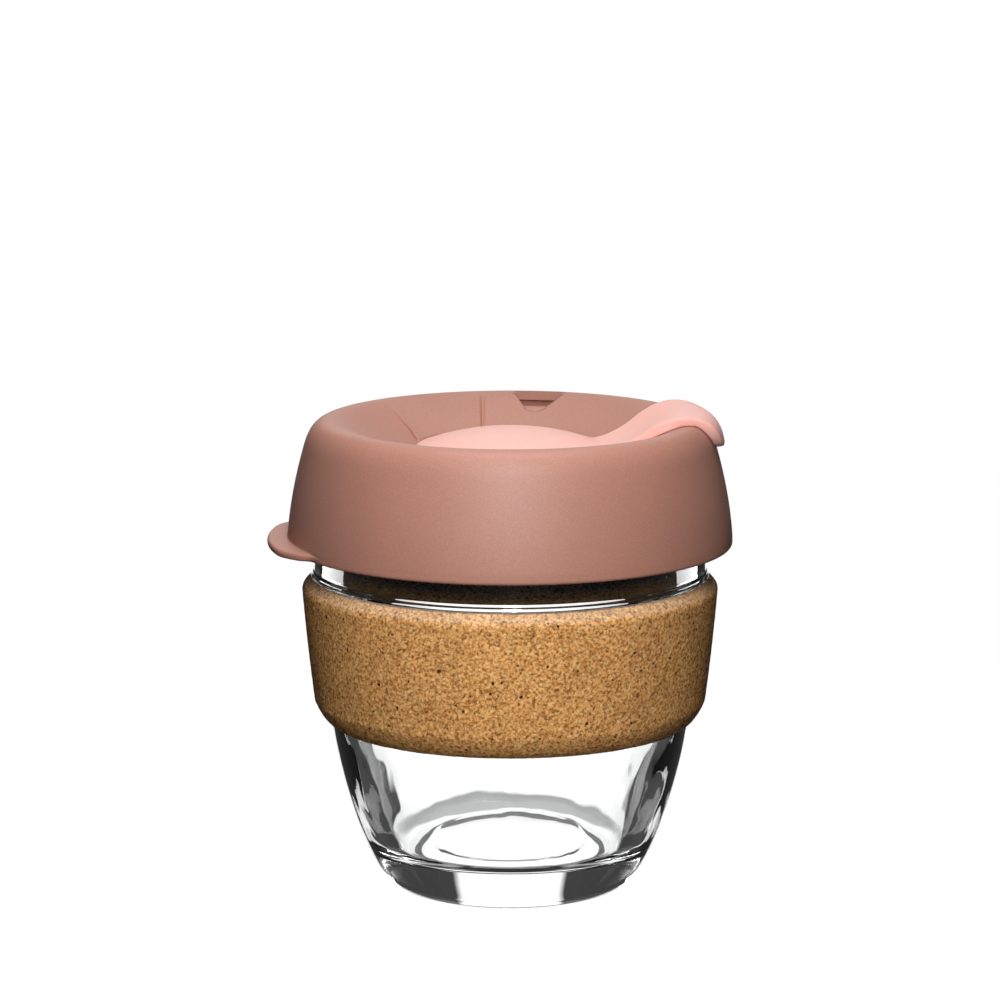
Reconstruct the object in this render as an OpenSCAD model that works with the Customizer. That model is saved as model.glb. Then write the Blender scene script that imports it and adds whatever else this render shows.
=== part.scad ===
// Lidded glass travel cup: a thick-walled glass tumbler, a cork grip band, a press-on lid and a
// turning plug that covers the sip hole. Millimetres, +Z up, origin at the centre of the foot.

/* [Glass] */
// Height of the glass from the table to the drinking rim
glass_height = 86; // [82:0.5:92]
// Outer radius of the neck above the shoulder that the band rests under
neck_radius = 38.8; // [38.5:0.1:39]
// Inner radius of the neck, where the lid's seal ring fits
mouth_radius = 36.2; // [36:0.1:36.4]
// Thickness of the glass floor
floor_thickness = 8.5; // [6:0.5:10]
// Outer radius of the ring the cup stands on
foot_radius = 21.3; // [20.5:0.1:22.5]

/* [Cork band] */
// Height at which the band's lower edge sits
band_bottom = 33.5; // [32:0.5:38]
// Outer radius of the band at its widest, just under the shoulder
band_radius = 41.2; // [40.6:0.1:42]

/* [Lid] */
// Outer diameter of the lid at the foot of its skirt
lid_diameter = 88; // [88:0.5:90]
// Wall thickness of the lid
lid_wall = 1.9; // [1.5:0.1:2.1]
// Distance the thumb tab stands out from the skirt
tab_reach = 4; // [2:0.5:6]
// Half of the angle that the thumb tab takes up, in degrees
tab_half_angle = 23; // [15:1:28]
// Direction of the sip hole seen from above, in degrees from +X
sip_angle = 80; // [70:1:84]
// Width of the sip hole at its outer end
sip_width = 11.3; // [9:0.1:13]

/* [Plug] */
// Radius of the plug's round disc
disc_radius = 18.7; // [17.5:0.1:18.9]
// Width of the plug's arm
arm_width = 23.4; // [20:0.2:24]
// Direction of the arm seen from above, in degrees from +X
arm_angle = 4; // [-20:1:20]

/* [Fits] */
// Radial clearance between pieces that slide or turn on each other
running_gap = 0.08; // [0.06:0.01:0.12]

/* [Hidden] */
$fn = 128;
curve_steps = 10;

// Outside of the glass, from the foot up to the rim
foot_hollow = 0.3;
foot_ring_width = 2.6;
foot_ring_bevel = 0.1;
foot_ring_slope = 0.5;
heel_z = 5;
heel_bend = [foot_radius + 3.2, 0];
waist_bend = [32.45, 15.5];
recess_start = [35.15, 31];
recess_bend = [36.9, 41];
shoulder_z = 62.5;
shoulder_radius = neck_radius + 0.6;
shoulder_foot = [shoulder_radius - 0.6, shoulder_z];
shoulder_side = [shoulder_radius, shoulder_z + 0.3];
neck_foot = [neck_radius, shoulder_z + 2.3];
seat = [shoulder_radius - 1.5, shoulder_z];
rim_z = glass_height;
rim_round = 1.15;

// Inside of the glass, from the mouth down to the floor
mouth_foot = [mouth_radius, 68];
inner_neck_bend = [34.7, 41];
inner_waist_bend = [27.2, floor_thickness + 8.7];
inner_waist_z = floor_thickness + 20.5;
inner_heel_z = floor_thickness + 3;
floor_bend = [23.2, floor_thickness];
floor_edge = [20.6, floor_thickness];
floor_ring_foot = [16.1, floor_thickness];
floor_ring_top = [14.8, floor_thickness + 0.15];

// Outside of the cork band
band_top = shoulder_z - running_gap;
band_bore_gap = running_gap + 0.02;
band_side_top = [band_radius, band_top - 2.6];
band_bevel_bend = [band_radius - 0.02, band_top - 1.9];
band_bevel_foot = [band_radius - 0.45, band_top - 1.4];
band_bevel_top = [seat[0] + 1.4, band_top];
band_waist_bend = [band_radius - 0.9, band_bottom + 15];
band_side_foot = [band_radius - 2.3, band_bottom + 4.2];
band_foot_bend = [band_radius - 3.5, band_bottom + 1.2];
band_foot_lip = 0.4;

// Lid heights are measured from the glass rim, radii from the skirt
lid_radius = lid_diameter / 2;
inner_radius = lid_radius - lid_wall;
rest_z = rim_z + 0.06;
skirt_z = rim_z - 17.15;
crown_z = rim_z + 7.55;
crown_radius = lid_radius - 8;
crown_corner = [lid_radius - 4.8, crown_z];
wall_top = [lid_radius - 3.4, rim_z + 2.7];
wall_bend = [lid_radius - 0.6, rim_z - 7];
skirt_edge = 0.7;
brow = [crown_radius - 5, crown_z - 1.6];
brow_bend = [crown_radius - 1.8, crown_z];
slope_foot = [21.5, rim_z + 1.5];
bowl_bend = [20.3, rim_z + 0.9];
bowl_flat_radius = 19;
bowl_floor_z = bowl_bend[1];
bowl_under_z = bowl_floor_z - lid_wall;
bowl_drop = [0, -1.12 * lid_wall];
ceiling_z = crown_z - lid_wall;

// Seal ring inside the mouth, rib that rests on the rim, and boss that carries the plug
seal_radius = mouth_radius - running_gap;
seal_wall = 1.8;
seal_lip = 0.25;
seal_z = rim_z - 9.1;
rib_radius = seal_radius + 1.1;
rib_width = 1.1;
bore_radius = 3.1;
boss_radius = 5.4;
boss_z = rim_z - 3.4;

// Thumb tab at the foot of the skirt
tab_z = skirt_z + 0.1;
tab_thickness = 1.5;
tab_chamfer = 0.4;
tab_angle = 183;
tab_blend = 8;
tab_overlap = 0.6;
tab_step = 1.5;

// Sip hole, the groove in front of it and the raised pad beside it
sip_inner_radius = 30.2;
sip_outer_radius = 36.3;
sip_inner_width = sip_width - 5.7;
sip_corner = 0.7;
sip_corner_run = sip_corner * [0.9, 0.4];
groove_tip_radius = 28;
groove_depth = 0.35;
pad_height = 0.9;
pad_ease = 12;
pad_inner_radius = 20.8;
pad_outer_radius = 33;
pad_side_x = -5.6;
pad_end = [[-18.6, 10], [-20.2, 14], [-23, 19.5], [-27, 26]];

// Plug
disc_under_z = bowl_floor_z + 0.2;
disc_edge_z = disc_under_z + 1.1;
dome_height = 3.5;
arm_gap = 0.15;
arm_crest = [crown_radius - 0.9, crown_z + 1.8];
arm_root = [disc_radius - 0.5, disc_edge_z + 0.3];
arm_ramp = [brow[0] - 4.5, brow[1] - 0.3];
arm_hook = [lid_radius - 1.9, rim_z + 4.3];
arm_tip = [lid_radius - 1.5, rim_z + 2.7];
arm_tip_round = 5.5;
arm_root_radius = 19;
arm_root_width = 0.66 * arm_width;
arm_inlet_radius = disc_radius - 6;
stem_radius = bore_radius - running_gap;
head_radius = 4;
head_z = boss_z - 0.15;
head_height = 1.8;
cut_height = 20;

// Curve from a to b that leaves and arrives along the lines through the bend point; a is left out
function bow(a, bend, b) = [
    for (i = [1 : curve_steps])
        let (t = i / curve_steps)
            (1 - t) * (1 - t) * a + 2 * t * (1 - t) * bend + t * t * b
];

// Point at height z on the line through a and b, where two curves with these bends join smoothly
function on_line(a, b, z) = a + (b - a) * (z - a[1]) / (b[1] - a[1]);

// Outer face of the glass under the band, from the waist up to the shoulder
function recess_wall() = bow(recess_start, recess_bend, seat);

// Radius of that face at one height
function recess_radius(z) = lookup(z, [for (p = concat([recess_start], recess_wall())) [p[1], p[0]]]);

// Upper face of the lid's bowl, from the top of the crown down the slope to the flat floor
function bowl_slope() = concat(
    bow([crown_radius, crown_z], brow_bend, brow),
    bow(slope_foot, bowl_bend, [bowl_flat_radius, bowl_floor_z])
);

// Height that the pad adds at one radius: full on the lower slope, easing to nothing at its top
function pad_rise(r) = pad_height * min(1, max(0, (pad_outer_radius - r) / pad_ease));

// Upright cylinder that starts at height z
module ring_cut(radius, height, z) {
    translate([0, 0, z]) cylinder(r = radius, h = height);
}

module glass_cup() {
    heel = on_line(heel_bend, waist_bend, heel_z);
    inner_waist = on_line(inner_neck_bend, inner_waist_bend, inner_waist_z);
    inner_heel = on_line(inner_waist_bend, floor_bend, inner_heel_z);
    ring_inside = foot_radius - foot_ring_width;
    outer_wall = concat(
        [[foot_radius, 0]],
        bow([foot_radius, 0], heel_bend, heel),
        bow(heel, waist_bend, recess_start),
        recess_wall(),
        [shoulder_foot],
        bow(shoulder_foot, [shoulder_radius, shoulder_z], shoulder_side),
        [neck_foot]
    );
    rim = concat(
        [[neck_radius, rim_z - rim_round]],
        bow([neck_radius, rim_z - rim_round], [neck_radius, rim_z], [neck_radius - rim_round, rim_z]),
        [[mouth_radius + rim_round, rim_z]],
        bow([mouth_radius + rim_round, rim_z], [mouth_radius, rim_z], [mouth_radius, rim_z - rim_round])
    );
    inner_wall = concat(
        [mouth_foot],
        bow(mouth_foot, inner_neck_bend, inner_waist),
        bow(inner_waist, inner_waist_bend, inner_heel),
        bow(inner_heel, floor_bend, floor_edge),
        [floor_ring_foot, floor_ring_top, [0, floor_ring_top[1]]]
    );
    underside = concat(
        [[0, foot_hollow], [ring_inside - foot_ring_slope, foot_hollow]],
        bow([ring_inside - foot_ring_slope, foot_hollow],
            [ring_inside - foot_ring_bevel, foot_hollow], [ring_inside, 0])
    );
    color([0.84, 0.9, 0.91])
        rotate_extrude()
            polygon(concat(outer_wall, rim, inner_wall, underside));
}

module cork_band() {
    band_foot = [recess_radius(band_bottom) + band_foot_lip, band_bottom];
    inner_face = [
        for (i = [0 : curve_steps])
            let (z = band_top + (band_bottom - band_top) * i / curve_steps)
                [recess_radius(z) + band_bore_gap, z]
    ];
    outer_face = concat(
        [band_foot],
        bow(band_foot, band_foot_bend, band_side_foot),
        bow(band_side_foot, band_waist_bend, band_side_top),
        bow(band_side_top, band_bevel_bend, band_bevel_foot),
        [band_bevel_top]
    );
    color([0.72, 0.52, 0.33])
        rotate_extrude()
            polygon(concat(inner_face, outer_face));
}

// Closed section of the lid: outside face, bowl, boss, seal ring, rest rib and inside of the skirt
module lid_shell() {
    corner_under = [wall_top[0] - lid_wall, wall_top[1] - 0.4];
    rib_side = [rib_radius + rib_width + 0.2, ceiling_z - 0.6];
    outside = concat(
        [[inner_radius + 0.2, skirt_z], [lid_radius - skirt_edge, skirt_z]],
        bow([lid_radius - skirt_edge, skirt_z], [lid_radius, skirt_z],
            [lid_radius, skirt_z + skirt_edge]),
        bow([lid_radius, skirt_z + skirt_edge], wall_bend, wall_top),
        bow(wall_top, crown_corner, [crown_radius, crown_z])
    );
    bowl = concat(bowl_slope(), [[bore_radius, bowl_floor_z]]);
    boss = concat(
        [[bore_radius, boss_z],
         [boss_radius, boss_z],
         [boss_radius, bowl_under_z],
         [bowl_flat_radius + 0.8, bowl_under_z]],
        bow([bowl_flat_radius + 0.8, bowl_under_z], [bowl_bend[0] + 0.7, bowl_under_z],
            slope_foot + bowl_drop),
        [brow + bowl_drop]
    );
    seal_ring = [
        [seal_radius - seal_wall, ceiling_z],
        [seal_radius - seal_wall, seal_z + 0.5],
        [seal_radius - seal_wall + 0.5, seal_z],
        [seal_radius - 0.7, seal_z],
        [seal_radius, seal_z + 1.3],
        [seal_radius, seal_z + 2.7],
        [seal_radius - seal_lip, seal_z + 3.4],
        [seal_radius - seal_lip, ceiling_z]
    ];
    rest_rib = [
        [rib_radius, ceiling_z],
        [rib_radius, rest_z],
        [rib_radius + rib_width, rest_z],
        rib_side
    ];
    inside = concat(
        bow(rib_side, [corner_under[0] - 0.2, ceiling_z - 1.2], corner_under),
        bow(corner_under, [wall_bend[0] - lid_wall, wall_bend[1]], [inner_radius, skirt_z + 1])
    );
    rotate_extrude()
        polygon(concat(outside, bowl, boss, seal_ring, rest_rib, inside));
}

// Reach of the tab at one angle: full in the middle, easing to nothing at both ends
function tab_share(a) =
    let (t = min(1, max(0, (tab_half_angle + tab_blend - abs(a)) / tab_blend / 2)))
        t * t * (3 - 2 * t);

module tab_outline(inset) {
    span = tab_half_angle + tab_blend;
    root = lid_radius - tab_overlap;
    back = lid_radius - lid_wall * 0.8;
    polygon(concat(
        [for (a = [-span : tab_step : span])
            (root + (tab_reach + tab_overlap - inset) * tab_share(a)) * [cos(a), sin(a)]],
        [back * [cos(span), sin(span)],
         [lid_radius - lid_wall * 0.5, 0],
         back * [cos(span), -sin(span)]]
    ));
}

module thumb_tab() {
    rotate([0, 0, tab_angle])
        difference() {
            union() {
                translate([0, 0, tab_z])
                    linear_extrude(tab_thickness) tab_outline(tab_chamfer);
                translate([0, 0, tab_z + tab_chamfer])
                    linear_extrude(tab_thickness - 2 * tab_chamfer) tab_outline(0);
            }
            ring_cut(inner_radius, tab_thickness + 2, tab_z - 1);
        }
}

// Sip hole seen from above, narrow end towards the centre, corners rounded
module sip_outline() {
    inner_half = sip_inner_width / 2;
    outer_half = sip_width / 2;
    near = [sip_inner_radius, inner_half];
    far = [sip_outer_radius, outer_half];
    drop = [0, sip_corner];
    upper = concat(
        [near - drop],
        bow(near - drop, near, near + sip_corner_run),
        [far - sip_corner_run],
        bow(far - sip_corner_run, far, far - drop)
    );
    polygon(concat(upper, [for (i = [len(upper) - 1 : -1 : 0]) [upper[i][0], -upper[i][1]]]));
}

// Shallow groove that runs on from the sip hole to a rounded point
module groove_outline() {
    corner = [sip_inner_radius + 1, sip_inner_width / 2];
    bend = [groove_tip_radius + 0.5, sip_inner_width * 0.45];
    upper = concat([corner], bow(corner, bend, [groove_tip_radius, 0]));
    polygon(concat(upper, [for (i = [curve_steps - 1 : -1 : 0]) [upper[i][0], -upper[i][1]]]));
}

// Layer between two heights over the bowl slope
module bowl_layer(low, rise, pad) {
    slope = concat([[crown_radius, crown_z]], bowl_slope());
    last = len(slope) - 1;
    rotate_extrude()
        polygon(concat(
            [for (p = slope) [p[0], p[1] + rise + pad * pad_rise(p[0])]],
            [for (i = [last : -1 : 0]) [slope[i][0], slope[i][1] + low]]
        ));
}

// Raised pad between two step edges on the left of the sip hole; the arm stops against them
module bowl_pad() {
    intersection() {
        bowl_layer(-lid_wall / 2, 0, 1);
        difference() {
            ring_cut(pad_outer_radius, crown_z, 1);
            ring_cut(pad_inner_radius, crown_z + 2, 0);
        }
        translate([0, 0, rim_z])
            linear_extrude(cut_height)
                polygon(concat(
                    [[pad_side_x, pad_inner_radius * 0.8], [pad_side_x, pad_outer_radius + 2]],
                    [[pad_end[3][0], pad_outer_radius + 2]],
                    [for (i = [3 : -1 : 0]) pad_end[i]]
                ));
    }
}

module lid() {
    color([0.84, 0.66, 0.61])
        difference() {
            union() {
                lid_shell();
                thumb_tab();
                bowl_pad();
            }
            rotate([0, 0, sip_angle]) {
                translate([0, 0, ceiling_z - 1.2])
                    linear_extrude(cut_height) sip_outline();
                intersection() {
                    translate([0, 0, bowl_floor_z]) linear_extrude(cut_height) sip_outline();
                    ring_cut(seal_radius - seal_wall, cut_height, bowl_floor_z);
                }
                intersection() {
                    translate([0, 0, bowl_floor_z]) linear_extrude(cut_height) groove_outline();
                    bowl_layer(-groove_depth, 1, 0);
                }
            }
        }
}

// Arm section: rises from the disc, crosses the crown and hooks down outside the lid
module arm_band() {
    gap = [0, arm_gap];
    inner_hook = wall_top + [arm_gap, 0];
    inner_crown = [crown_radius, crown_z] + gap;
    inlet = [arm_inlet_radius, disc_under_z];
    rotate_extrude()
        polygon(concat(
            [inlet, [arm_inlet_radius + 2, disc_edge_z + 1], arm_root],
            bow(arm_root, [disc_radius + 3.3, arm_root[1] + 0.2], arm_ramp),
            bow(arm_ramp, [brow[0], arm_crest[1] - 0.2], arm_crest),
            bow(arm_crest, [lid_radius - 3, arm_crest[1] + 0.1], arm_hook),
            [arm_tip, [inner_hook[0] + 0.25, arm_tip[1]], inner_hook],
            bow(inner_hook, crown_corner + [0.25, arm_gap], inner_crown),
            bow(inner_crown, brow_bend + gap, brow + gap),
            [slope_foot + gap, [bowl_bend[0], disc_under_z], inlet]
        ));
}

// Plan of the arm: a tongue that widens from its root to the crown
module arm_plan() {
    start = [arm_root_radius / 2, arm_root_width * 0.4];
    root = [arm_root_radius, arm_root_width / 2];
    wide = [crown_radius - 3, arm_width / 2];
    end = [lid_radius + 2, arm_width / 2];
    upper = [start, root, wide, end];
    polygon(concat(upper, [for (i = [len(upper) - 1 : -1 : 0]) [upper[i][0], -upper[i][1]]]));
}

// Front view of the arm's hanging end, with rounded lower corners
module arm_front() {
    half = arm_width / 2;
    round_z = arm_tip[1] + arm_tip_round;
    translate([0, round_z])
        for (side = [-1, 1])
            translate([side * (half - arm_tip_round), 0]) circle(r = arm_tip_round);
    translate([-half, round_z]) square([arm_width, cut_height]);
    translate([arm_tip_round - half, arm_tip[1] - 1])
        square([arm_width - 2 * arm_tip_round, cut_height]);
}

module plug() {
    dome_radius = (disc_radius * disc_radius + dome_height * dome_height) / (2 * dome_height);
    color([0.96, 0.8, 0.76])
        rotate([0, 0, arm_angle]) {
            intersection() {
                ring_cut(disc_radius, cut_height, disc_under_z);
                translate([0, 0, disc_edge_z + dome_height - dome_radius]) sphere(r = dome_radius);
            }
            intersection() {
                arm_band();
                translate([0, 0, disc_under_z]) linear_extrude(cut_height) arm_plan();
                union() {
                    rotate([90, 0, 90])
                        translate([0, 0, crown_radius - 4]) linear_extrude(cut_height) arm_front();
                    ring_cut(crown_radius + 1, cut_height, disc_under_z);
                }
            }
            translate([0, 0, head_z]) cylinder(r = stem_radius, h = disc_under_z - head_z + 1);
            translate([0, 0, head_z - head_height])
                cylinder(r1 = stem_radius - 0.6, r2 = head_radius, h = head_height);
        }
}

glass_cup();
cork_band();
lid();
plug();
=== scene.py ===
"""Looks of a lidded glass travel cup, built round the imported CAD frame."""

import math

import bmesh
import bpy
import numpy as np
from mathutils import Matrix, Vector, noise


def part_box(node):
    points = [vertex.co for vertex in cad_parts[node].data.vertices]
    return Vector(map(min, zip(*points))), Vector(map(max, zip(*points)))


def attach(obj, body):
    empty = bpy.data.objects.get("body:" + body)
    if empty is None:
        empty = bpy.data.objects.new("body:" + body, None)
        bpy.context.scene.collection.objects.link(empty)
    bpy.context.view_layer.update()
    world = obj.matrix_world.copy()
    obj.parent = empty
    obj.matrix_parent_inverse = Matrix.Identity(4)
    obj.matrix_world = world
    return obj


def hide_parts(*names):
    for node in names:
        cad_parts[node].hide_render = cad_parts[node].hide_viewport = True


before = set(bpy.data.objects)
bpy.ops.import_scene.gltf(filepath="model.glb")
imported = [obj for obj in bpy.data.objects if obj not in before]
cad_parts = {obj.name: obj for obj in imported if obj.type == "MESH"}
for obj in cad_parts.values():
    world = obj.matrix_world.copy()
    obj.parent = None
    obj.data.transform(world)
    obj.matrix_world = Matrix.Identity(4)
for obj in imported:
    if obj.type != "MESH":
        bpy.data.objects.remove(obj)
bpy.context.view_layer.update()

MM = 0.001
CURVE_STEPS = 16


# ---------------------------------------------------------------- shapes
def box_mm(node):
    """Lowest and highest corner of a CAD node in millimetres."""
    low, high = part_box(node)
    return np.array(low) / MM, np.array(high) / MM


def bow(a, bend, b, steps=CURVE_STEPS):
    """Curve from a to b that leaves and arrives along the lines through bend; a itself is left out."""
    a, bend, b = np.array(a, float), np.array(bend, float), np.array(b, float)
    t = np.arange(1, steps + 1)[:, None] / steps
    return list((1 - t) ** 2 * a + 2 * t * (1 - t) * bend + t**2 * b)


def straight(a, b, steps):
    """Points on the line from a to b; a itself is left out."""
    a, b = np.array(a, float), np.array(b, float)
    return [a + (b - a) * i / steps for i in range(1, steps + 1)]


def smoothstep(t):
    t = np.clip(t, 0, 1)
    return t * t * (3 - 2 * t)


def add_mesh(name, verts_mm, faces, material, body, nodes):
    """A smooth mesh object from millimetre points, riding a body and standing for CAD nodes."""
    mesh = bpy.data.meshes.new(name)
    mesh.from_pydata([tuple(v * MM for v in p) for p in verts_mm], [], faces)
    mesh.validate()
    obj = bpy.data.objects.new(name, mesh)
    bpy.context.scene.collection.objects.link(obj)
    tidy_mesh(obj)
    obj.data.materials.append(material)
    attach(obj, body)
    if nodes:
        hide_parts(*nodes)
    return obj


def tidy_mesh(obj, merge=1e-7):
    """Merges doubled points, turns the faces outwards and shades them smooth."""
    bm = bmesh.new()
    bm.from_mesh(obj.data)
    bmesh.ops.remove_doubles(bm, verts=bm.verts, dist=merge)
    bmesh.ops.dissolve_degenerate(bm, edges=bm.edges, dist=merge)
    bmesh.ops.recalc_face_normals(bm, faces=bm.faces)
    bm.to_mesh(obj.data)
    bm.free()
    for polygon in obj.data.polygons:
        polygon.use_smooth = True


def apply_modifiers(obj):
    """Replaces the object's mesh with its evaluated one."""
    graph = bpy.context.evaluated_depsgraph_get()
    graph.update()
    mesh = bpy.data.meshes.new_from_object(obj.evaluated_get(graph), depsgraph=graph)
    obj.modifiers.clear()
    old = obj.data
    obj.data = mesh
    bpy.data.meshes.remove(old)


def ring_faces(segments, points, strips):
    """Faces between sections that stand all round the axis, each with the same number of points."""
    faces = []
    for here in range(segments):
        there = (here + 1) % segments
        for i in range(strips):
            j = (i + 1) % points
            faces.append((here * points + i, there * points + i, there * points + j, here * points + j))
    return faces


def revolved(loop, segments, closed=True):
    """Vertices and faces of a section turned round +Z. The section may touch the axis."""
    turn = np.linspace(0, 2 * math.pi, segments, endpoint=False)
    verts = [(r * math.cos(a), r * math.sin(a), z) for a in turn for r, z in loop]
    return verts, ring_faces(segments, len(loop), len(loop) if closed else len(loop) - 1)


# ---------------------------------------------------------------- materials
def new_material(name):
    material = bpy.data.materials.new(name)
    material.use_nodes = True
    tree = material.node_tree
    tree.nodes.clear()
    out = tree.nodes.new("ShaderNodeOutputMaterial")
    return material, tree, out


def node(tree, kind, **inputs):
    """Adds a node and sets its inputs by name, with spaces written as underscores."""
    made = tree.nodes.new(kind)
    for key, value in inputs.items():
        made.inputs[key.replace("_", " ")].default_value = value
    return made


def ramp(tree, source, stops):
    """A colour ramp fed by a socket; stops are (position, (r, g, b))."""
    made = tree.nodes.new("ShaderNodeValToRGB")
    elements = made.color_ramp.elements
    while len(elements) < len(stops):
        elements.new(0.5)
    for element, (position, colour) in zip(elements, stops):
        element.position = position
        element.color = (*colour, 1)
    tree.links.new(source, made.inputs["Fac"])
    return made.outputs["Color"]


def feed(tree, value, socket):
    """Links a socket to another one, or gives it a plain value."""
    if isinstance(value, bpy.types.NodeSocket):
        tree.links.new(value, socket)
    else:
        socket.default_value = value


def maths(tree, operation, a, b=0.0):
    """A maths node; a and b are numbers or sockets."""
    made = tree.nodes.new("ShaderNodeMath")
    made.operation = operation
    for socket, value in zip(made.inputs, (a, b)):
        feed(tree, value, socket)
    return made.outputs["Value"]


def mixed(tree, mode, factor, a, b):
    """Colour b laid over colour a; the factor and the colours are values or sockets."""
    made = tree.nodes.new("ShaderNodeMix")
    made.data_type = "RGBA"
    made.blend_type = mode
    for key, value in (("Factor", factor), ("A", a), ("B", b)):
        feed(tree, (*value, 1) if isinstance(value, tuple) else value, made.inputs[key])
    return made.outputs["Result"]


def srgb(r, g, b):
    """Linear colour from 0-255 display values."""
    def linear(c):
        c = c / 255
        return c / 12.92 if c <= 0.04045 else ((c + 0.055) / 1.055) ** 2.4
    return linear(r), linear(g), linear(b)


def glass_material():
    material, tree, out = new_material("clear_glass")
    shader = node(tree, "ShaderNodeBsdfPrincipled", Roughness=0.0, IOR=1.5,
                  Transmission_Weight=1.0, Base_Color=(0.985, 0.99, 0.99, 1))
    clear = node(tree, "ShaderNodeBsdfTransparent", Color=(0.93, 0.94, 0.94, 1))
    light_path = tree.nodes.new("ShaderNodeLightPath")
    mix = tree.nodes.new("ShaderNodeMixShader")
    tree.links.new(light_path.outputs["Is Shadow Ray"], mix.inputs["Fac"])
    tree.links.new(shader.outputs["BSDF"], mix.inputs[1])
    tree.links.new(clear.outputs["BSDF"], mix.inputs[2])
    tree.links.new(mix.outputs["Shader"], out.inputs["Surface"])
    return material


def plastic_material(name, colour, roughness, grain_scale, grain_depth, specular, soft=0.0, speckle=0.0):
    """Moulded plastic or rubber with a fine matte grain and slight mottling."""
    material, tree, out = new_material(name)
    place = tree.nodes.new("ShaderNodeTexCoord")
    shader = node(tree, "ShaderNodeBsdfPrincipled", Specular_IOR_Level=specular)
    grain = node(tree, "ShaderNodeTexNoise", Scale=grain_scale, Detail=3.0, Roughness=0.6)
    mottle = node(tree, "ShaderNodeTexNoise", Scale=60.0, Detail=2.0)
    for texture in (grain, mottle):
        tree.links.new(place.outputs["Object"], texture.inputs["Vector"])
    dark = tuple(c * 0.97 for c in colour)
    light = tuple(min(1, c * 1.03) for c in colour)
    tint = ramp(tree, mottle.outputs["Fac"], [(0.3, dark), (0.7, light)])
    if speckle:
        dots = ramp(tree, grain.outputs["Fac"], [(0.3, (1 - speckle,) * 3), (0.7, (1.0,) * 3)])
        tint = mixed(tree, "MULTIPLY", 1.0, tint, dots)
    tree.links.new(tint, shader.inputs["Base Color"])
    spread = node(tree, "ShaderNodeMapRange")
    spread.inputs["To Min"].default_value = roughness - 0.04
    spread.inputs["To Max"].default_value = roughness + 0.04
    tree.links.new(grain.outputs["Fac"], spread.inputs["Value"])
    tree.links.new(spread.outputs["Result"], shader.inputs["Roughness"])
    bump = node(tree, "ShaderNodeBump", Strength=0.25, Distance=grain_depth)
    tree.links.new(grain.outputs["Fac"], bump.inputs["Height"])
    tree.links.new(bump.outputs["Normal"], shader.inputs["Normal"])
    if soft:
        shader.inputs["Subsurface Weight"].default_value = soft
        shader.inputs["Subsurface Radius"].default_value = (1.0, 0.4, 0.3)
        shader.inputs["Subsurface Scale"].default_value = 1.5 * MM
    tree.links.new(shader.outputs["BSDF"], out.inputs["Surface"])
    return material


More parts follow.
